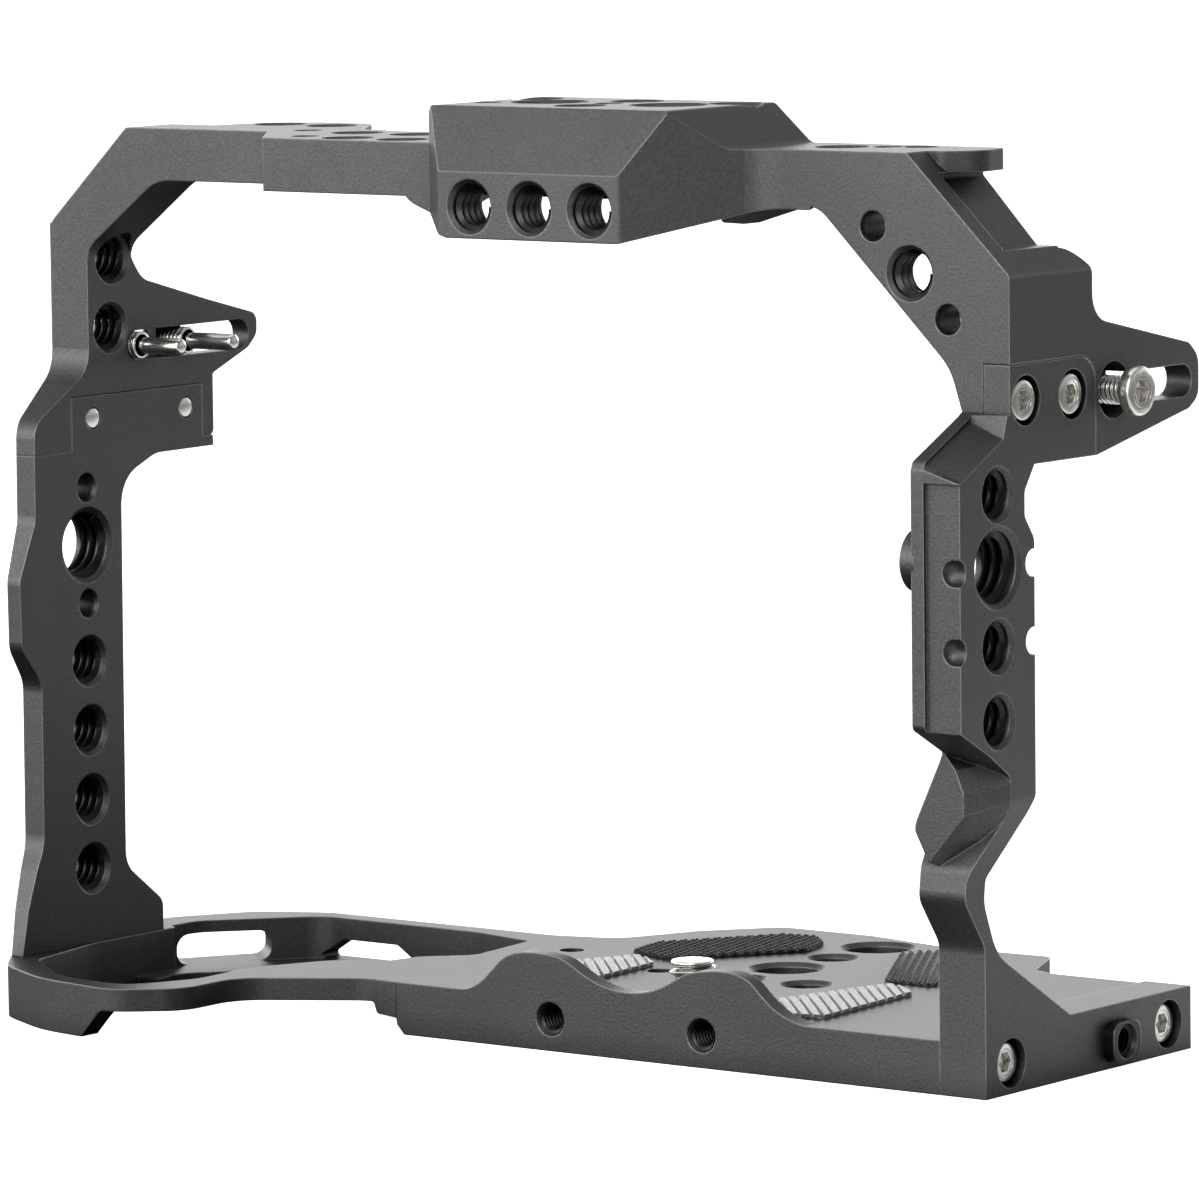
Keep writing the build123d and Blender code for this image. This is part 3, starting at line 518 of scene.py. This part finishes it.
def nodeLength(node, along):
    low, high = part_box(node)
    return high[along] - low[along]


# Joins the parts of a screw built head-up along +Z and seats the head's face on the CAD node's end.
def replaceScrew(node, body, axis, parts):
    low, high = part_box(node)
    place = [(low[i] + high[i]) / 2 for i in range(3)]
    along = longAxis(axis)
    place[along] = high[along] if axis[along] > 0 else low[along]
    screw = joinAll(parts, node + "_turned")
    aimAndPlace(screw, axis, place)
    smooth(screw, smoothAngles["screw"])
    finishPiece(screw, body, steel, (node,))


capScrew = {"headRadius": 2.75 * mm, "headHeight": 2.0 * mm, "across": 2.5 * mm, "socket": 1.3 * mm,
            "rim": 0.32 * mm, "shaftRadius": 1.5 * mm, "shaftRim": 0.25 * mm, "shaftStart": 0.9}
jointScrews = {  # node: outward axis of the head
    "grip_joint_screw_front": (-1, 0, 0), "grip_joint_screw_rear": (-1, 0, 0),
    "port_joint_screw_front": (1, 0, 0), "port_joint_screw_rear": (1, 0, 0),
    "port_foot_screw_front": (1, 0, 0), "port_foot_screw_rear": (1, 0, 0),
    "grip_foot_screw_front": (0, 0, -1), "grip_foot_screw_rear": (0, 0, -1),
}
for node, axis in jointScrews.items():
    head = addScrewHead(capScrew["headRadius"], capScrew["headHeight"], capScrew["across"],
                        capScrew["socket"], capScrew["rim"])
    shaft = addShaft(capScrew["shaftRadius"], -capScrew["headHeight"] * capScrew["shaftStart"],
                     -nodeLength(node, longAxis(axis)), rim=capScrew["shaftRim"])
    replaceScrew(node, "frame", axis, [head, shaft])
print("joint screws made")

lugScrew = {"headRadius": 3.3 * mm, "across": 3.0 * mm, "socket": 1.3 * mm, "rim": 0.4 * mm,
            "coreRadius": 1.58 * mm, "coreStart": 0.95, "threadRadius": 1.95 * mm, "pitch": 0.7 * mm,
            "threadSpare": 0.3 * mm, "collarLong": 0.5 * mm, "collarRim": 0.16 * mm,
            "pinRadius": 1.2 * mm, "pinStart": 0.98, "pinRim": 0.55 * mm}
lugs = {
    "grip_lug_screw_a": {"body": "grip_lug_turn_a", "axis": (-1, 0, 0),
                         "head": 4.0 * mm, "thread": 5.6 * mm},
    "grip_lug_screw_b": {"body": "grip_lug_turn_b", "axis": (-1, 0, 0),
                         "head": 4.0 * mm, "thread": 5.6 * mm},
    "port_lug_screw": {"body": "port_lug_turn", "axis": (1, 0, 0),
                       "head": 1.9 * mm, "thread": 8.9 * mm},
}
for node, lug in lugs.items():
    top = -lug["head"]
    threadEnd = top - lug["thread"]
    head = addScrewHead(lugScrew["headRadius"], lug["head"], lugScrew["across"], lugScrew["socket"],
                        lugScrew["rim"])
    core = addShaft(lugScrew["coreRadius"], top * lugScrew["coreStart"], threadEnd)
    collar = addShaft(lugScrew["threadRadius"], threadEnd + lugScrew["collarLong"], threadEnd,
                      sideCounts["thread"], lugScrew["collarRim"])
    pin = addShaft(lugScrew["pinRadius"], threadEnd * lugScrew["pinStart"], -nodeLength(node, 0),
                   rim=lugScrew["pinRim"])
    ridge = addRidge("ridge", lugScrew["coreRadius"], lugScrew["threadRadius"] - lugScrew["coreRadius"],
                     lugScrew["pitch"], lug["thread"] - lugScrew["threadSpare"], 1)
    aimAndPlace(ridge, (0, 0, 1), (0, 0, (top + threadEnd) / 2))
    replaceScrew(node, lug["body"], lug["axis"], [head, core, collar, pin, ridge])
print("lug screws made")

cameraScrew = {"headRadius": 6.0 * mm, "headHeight": 2.4 * mm, "slotWidth": 1.8 * mm, "slotDepth": 1.2 * mm,
               "knurls": 36, "knurlWall": 0.08 * mm, "knurlDeep": 0.12 * mm, "neckRadius": 2.35 * mm,
               "neckStart": 0.9, "neckReach": 0.6, "coreRadius": 2.5 * mm, "coreShort": 0.2 * mm,
               "threadRadius": 3.175 * mm, "pitch": 1.27 * mm, "threadLong": 3.1 * mm,
               "threadSpare": 0.3 * mm, "capRadius": 2.95 * mm, "capHeight": 0.62 * mm, "capRim": 0.22 * mm}


# Camera screw built upside down: the coin-slot head's face at z = 0, the thread's end below.
def addCameraScrew():
    tip = -nodeLength("camera_screw", 2)
    threadTop = tip + cameraScrew["threadLong"]
    head = addCylinder("head", cameraScrew["headRadius"], cameraScrew["headHeight"],
                       (0, 0, -cameraScrew["headHeight"] / 2), cameraScrew["knurls"] * 2)
    pickFaces(head, lambda normal: abs(normal.z) < 0.5)
    bpy.ops.mesh.inset(thickness=cameraScrew["knurlWall"], depth=-cameraScrew["knurlDeep"],
                       use_individual=True)
    leaveEditMode()
    carve(head, addBox("slot", (cameraScrew["headRadius"] * 3, cameraScrew["slotWidth"],
                                cameraScrew["slotDepth"] * 2)))
    neck = addShaft(cameraScrew["neckRadius"], -cameraScrew["headHeight"] * cameraScrew["neckStart"],
                    tip + cameraScrew["threadLong"] * cameraScrew["neckReach"])
    core = addShaft(cameraScrew["coreRadius"], threadTop, tip + cameraScrew["coreShort"],
                    sideCounts["thread"])
    cap = addShaft(cameraScrew["capRadius"], tip + cameraScrew["capHeight"], tip, sideCounts["head"],
                   cameraScrew["capRim"])
    ridge = addRidge("ridge", cameraScrew["coreRadius"],
                     cameraScrew["threadRadius"] - cameraScrew["coreRadius"], cameraScrew["pitch"],
                     cameraScrew["threadLong"] - cameraScrew["threadSpare"], 1)
    middle = (tip + threadTop + cameraScrew["threadSpare"]) / 2
    aimAndPlace(ridge, (0, 0, 1), (0, 0, middle))
    replaceScrew("camera_screw", "camera_screw_turn", (0, 0, -1), [head, neck, core, cap, ridge])


addCameraScrew()
print("camera screw made")

# Direction of the rows in degrees, spacing of rows and of the blocks in a row in mm, and how much of
# a block's foot its top keeps each way.
frontWeave = {"turn": 132.6, "row": 1.45, "block": 0.5, "topRow": 0.62, "topBlock": 0.86, "finish": rubber}
# All pads are one rubber: the front pads keep bright painted highlights on their rib edges, the rear-left
# pad takes painted shade and the rear-right pad painted glints.
padWeaves = {
    "pad_front_left": frontWeave,
    "pad_front_right": frontWeave,
    "pad_rear_left": {"turn": 101.7, "row": 1.2, "block": 1.2, "topRow": 0.42, "topBlock": 0.50,
                      "finish": shadedRubber},
    "pad_rear_right": {"turn": 119.8, "row": 1.2, "block": 1.2, "topRow": 0.30, "topBlock": 0.28,
                       "finish": glintRubber},
}
padForm = {"relief": 0.5 * mm, "sheetCut": 0.8, "footShare": 0.94}


def repeatAlong(piece, count, step):
    applyModifier(piece, "ARRAY", count=count, use_relative_offset=False, use_constant_offset=True,
                  constant_offset_displace=step)


def addPad(node, weave):
    low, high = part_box(node)
    relief = padForm["relief"]
    reach = math.hypot(high[0] - low[0], high[1] - low[1])
    sheet = copyOfNode(node, node + "_sheet")
    outlineSolid = copyOfNode(node, node + "_outline")
    openInEditMode(sheet)
    bpy.ops.mesh.bisect(plane_co=(0, 0, high[2] - relief * padForm["sheetCut"]), plane_no=(0, 0, 1),
                        clear_outer=True, use_fill=True)
    leaveEditMode()
    row, block = weave["row"] * mm, weave["block"] * mm
    stud = addBox("stud", (block * padForm["footShare"], row * padForm["footShare"], relief))
    pickFaces(stud, lambda normal: normal.z > 0.5)
    bpy.ops.transform.resize(value=(weave["topBlock"], weave["topRow"], 1))
    leaveEditMode()
    alongCount = int(reach / block) + 2
    acrossCount = int(reach / row) + 2
    repeatAlong(stud, alongCount, (block, 0, 0))
    repeatAlong(stud, acrossCount, (0, row, 0))
    openInEditMode(stud)
    bpy.ops.transform.translate(value=(-(alongCount - 1) * block / 2, -(acrossCount - 1) * row / 2, 0))
    leaveEditMode()
    stud.rotation_euler = (0, 0, math.radians(weave["turn"]))
    stud.location = ((low[0] + high[0]) / 2, (low[1] + high[1]) / 2, high[2] - relief / 2)
    bakePlace(rotation=True, scale=True)
    carve(stud, outlineSolid, "INTERSECT")
    pad = joinAll([sheet, stud], node + "_ribbed")
    finishPiece(pad, "frame", weave["finish"], (node,))


for node, weave in padWeaves.items():
    addPad(node, weave)
print("pads made")

# The floor is pale to the camera. In reflections it is dark in front, lighter far in front and
# lightest beside the port side. Spans are in metres.
room = {"size": 60.0, "tone": (0.94, 0.94, 0.94, 1), "glow": 0.9, "roughness": 0.9,
        "front": 0.04, "frontFar": 0.6, "frontSpan": (-0.7, -0.15),
        "port": 1.0, "portFar": 0.16, "portSpan": (0.14, 0.42),
        "portEdge": (0.02, 0.06), "portDepth": (-0.02, 0.03), "besideEdge": (0.04, 0.10), "beside": 0.75}


def addFloor():
    deselectAll()
    bpy.ops.mesh.primitive_plane_add(size=room["size"], location=(0, 0, 0))
    floor = bpy.context.object
    floor.name = "studio_floor"
    material = bpy.data.materials.new("paleFloor")
    material.use_nodes = True
    tree = material.node_tree
    shader = tree.nodes["Principled BSDF"]
    ray = tree.nodes.new("ShaderNodeLightPath")
    coords = tree.nodes.new("ShaderNodeTexCoord")
    parts = tree.nodes.new("ShaderNodeSeparateXYZ")
    tree.links.new(coords.outputs["Object"], parts.inputs["Vector"])
    across, deep = parts.outputs["X"], parts.outputs["Y"]
    behindEdge = mathNode(tree, "MULTIPLY", ramp(tree, across, room["portEdge"], 0.0, 1.0),
                          ramp(tree, deep, room["portDepth"], 0.0, 1.0))
    portSide = mathNode(tree, "MAXIMUM", behindEdge,
                        ramp(tree, across, room["besideEdge"], 0.0, room["beside"]))
    portTone = ramp(tree, across, room["portSpan"], room["port"], room["portFar"])
    frontTone = ramp(tree, deep, room["frontSpan"], room["frontFar"], room["front"])
    mirrored = mathNode(tree, "ADD", mathNode(tree, "MULTIPLY", portSide, portTone), frontTone)
    tone = tree.nodes.new("ShaderNodeMix")
    tone.data_type = "RGBA"
    tree.links.new(mirrored, tone.inputs["A"])
    tone.inputs["B"].default_value = room["tone"]
    tree.links.new(ray.outputs["Is Camera Ray"], tone.inputs["Factor"])
    tree.links.new(tone.outputs["Result"], shader.inputs["Base Color"])
    tree.links.new(mathNode(tree, "MULTIPLY", ray.outputs["Is Camera Ray"], room["glow"]),
                   shader.inputs["Emission Strength"])
    shader.inputs["Emission Color"].default_value = (1, 1, 1, 1)
    shader.inputs["Roughness"].default_value = room["roughness"]
    shader.inputs["Specular IOR Level"].default_value = 0.0
    floor.data.materials.append(material)


addFloor()

# Soft glows in the sky: where each one points, how far it spreads, its strength, the heights
# between which it fades, and the share left above them.
skyAmbient = 0.27
skyGlows = {
    "backLeft": {"towards": (-0.6, 0.8, 0), "spread": (0.25, 0.95), "strength": 3.35,
                 "heights": (0.12, 0.5), "above": 0},
    "frontLeft": {"towards": (-0.57, -0.76, 0.3), "spread": (0.2, 0.95), "strength": 2.9,
                  "heights": (0.15, 0.6), "above": 0.2},
    "backRight": {"towards": (0.6, 0.8, 0), "spread": (0.5, 1), "strength": 0.2,
                  "heights": (0.2, 0.5), "above": 0},
}


def addSky():
    world = bpy.data.worlds.new("softStudio")
    bpy.context.scene.world = world
    world.use_nodes = True
    sky = world.node_tree
    backdrop = sky.nodes["Background"]
    coords = sky.nodes.new("ShaderNodeTexCoord")
    ray = sky.nodes.new("ShaderNodeLightPath")
    parts = sky.nodes.new("ShaderNodeSeparateXYZ")
    sky.links.new(coords.outputs["Generated"], parts.inputs["Vector"])
    patches = {}
    for name, glow in skyGlows.items():
        facing = sky.nodes.new("ShaderNodeVectorMath")
        facing.operation = "DOT_PRODUCT"
        facing.inputs[1].default_value = glow["towards"]
        sky.links.new(coords.outputs["Generated"], facing.inputs[0])
        patches[name] = mathNode(
            sky, "MULTIPLY", ramp(sky, facing.outputs["Value"], glow["spread"], 0, glow["strength"]),
            ramp(sky, parts.outputs["Z"], glow["heights"], 1, glow["above"]))
    leftSide = mathNode(sky, "ADD", patches["backLeft"], patches["frontLeft"])
    rightSide = mathNode(sky, "ADD", patches["backRight"], skyAmbient)
    light = mathNode(sky, "ADD", leftSide, rightSide)
    mix = sky.nodes.new("ShaderNodeMix")
    sky.links.new(ray.outputs["Is Camera Ray"], mix.inputs["Factor"])
    sky.links.new(light, mix.inputs["A"])
    mix.inputs["B"].default_value = 1.0
    sky.links.new(mix.outputs["Result"], backdrop.inputs["Strength"])
    backdrop.inputs["Color"].default_value = (1, 1, 1, 1)


addSky()

studioLights = {  # place in metres, size in metres, power in watts
    "key": {"place": (0.75, -1.6, 1.3), "size": 1.2, "power": 16.0},
    "fill": {"place": (-1.6, -1.0, 0.8), "size": 1.4, "power": 4.0},
    "top": {"place": (0.0, 0.3, 1.7), "size": 1.6, "power": 4.0},
}
lightTarget = Vector((0, 0, 0.06))
for name, lamp in studioLights.items():
    deselectAll()
    bpy.ops.object.light_add(type="AREA", location=lamp["place"])
    light = bpy.context.object
    light.name = name + "_softbox"
    light.data.size = lamp["size"]
    light.data.energy = lamp["power"]
    toTarget = lightTarget - Vector(lamp["place"])
    light.rotation_euler = toTarget.to_track_quat("-Z", "Y").to_euler()

shot = {"place": (0.67035, -0.88978, 0.1824), "azimuth": 37.009, "elevation": 6.309, "roll": -0.677,
        "lens": 244.27, "sensor": 36.0, "reach": 200.0}
deselectAll()
bpy.ops.object.camera_add(location=shot["place"])
camera = bpy.context.object
camera.name = "shot_camera"
camera.data.lens = shot["lens"]
camera.data.sensor_width = shot["sensor"]
camera.data.clip_end = shot["reach"]
camera.rotation_mode = "XYZ"
turn = math.radians(shot["azimuth"])
tilt = math.radians(shot["elevation"])
backwards = Vector((math.sin(turn) * math.cos(tilt), -math.cos(turn) * math.cos(tilt), math.sin(tilt)))
camera.rotation_euler = backwards.to_track_quat("Z", "Y").to_euler()
bpy.context.view_layer.update()
camera.rotation_euler.rotate_axis("Z", math.radians(shot["roll"]))
bpy.context.scene.camera = camera
bpy.context.scene.view_settings.view_transform = "Standard"
print("studio made")
